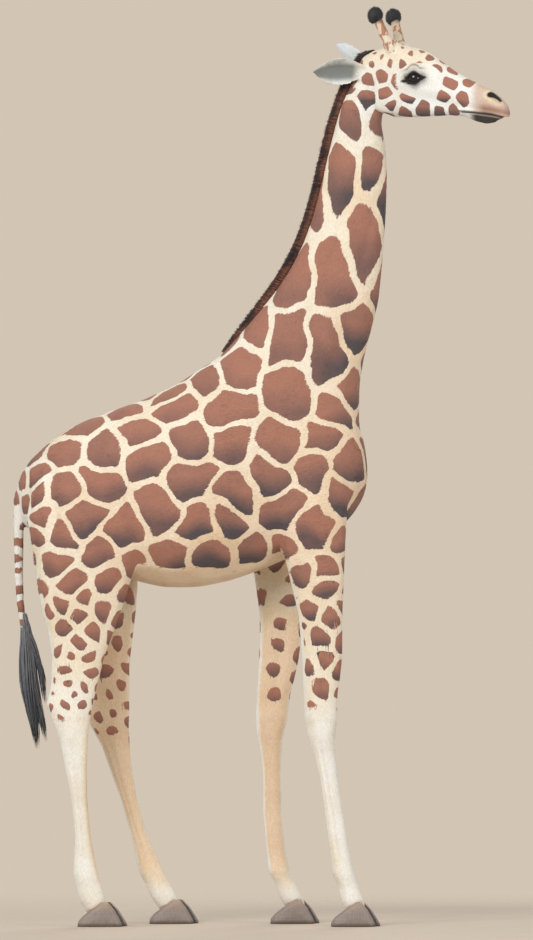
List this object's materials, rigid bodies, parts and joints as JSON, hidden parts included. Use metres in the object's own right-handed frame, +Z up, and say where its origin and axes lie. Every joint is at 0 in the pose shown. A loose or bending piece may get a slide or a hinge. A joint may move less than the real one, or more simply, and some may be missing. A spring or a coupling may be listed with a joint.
{
  "type": "reticulated giraffe, still life-size model",
  "caption": "Standing giraffe, still life-size museum model, with parted head, neck, trunk, legs, hooves, tail, ears, eyes and horns.",
  "frame": {"origin": "on the ground, under the middle of the whole animal's box", "axes": "+X the way the giraffe faces, +Y to its left side, +Z up"},
  "size_m": [2.4862, 0.617, 4.5864],
  "materials": {
    "hide": "short flat coat, red-brown patches between cream lines, white lower legs",
    "horn": "short-haired skin over bone, tan with brown spots",
    "black_hair": "long black hair in locks",
    "mane_hair": "stiff upright red-brown hair",
    "eye": "wet and glossy",
    "hoof": "satin horn, grey-brown"
  },
  "bodies": {
    "root": {"head": "hide", "neck": "hide", "trunk": "hide", "leg_fore_right": "hide", "leg_fore_left": "hide", "leg_hind_right": "hide", "leg_hind_left": "hide", "ear_right": "hide", "ear_left": "hide", "tail": "hide", "ossicone_right": "horn", "ossicone_left": "horn", "ossicone_tuft_right": "black_hair", "ossicone_tuft_left": "black_hair", "tail_tuft": "black_hair", "mane": "mane_hair", "eye_right": "eye", "eye_left": "eye", "hoof_fore_right_inner": "hoof", "hoof_fore_right_outer": "hoof", "hoof_fore_left_inner": "hoof", "hoof_fore_left_outer": "hoof", "hoof_hind_right_inner": "hoof", "hoof_hind_right_outer": "hoof", "hoof_hind_left_inner": "hoof", "hoof_hind_left_outer": "hoof"}
  },
  "joints": []
}
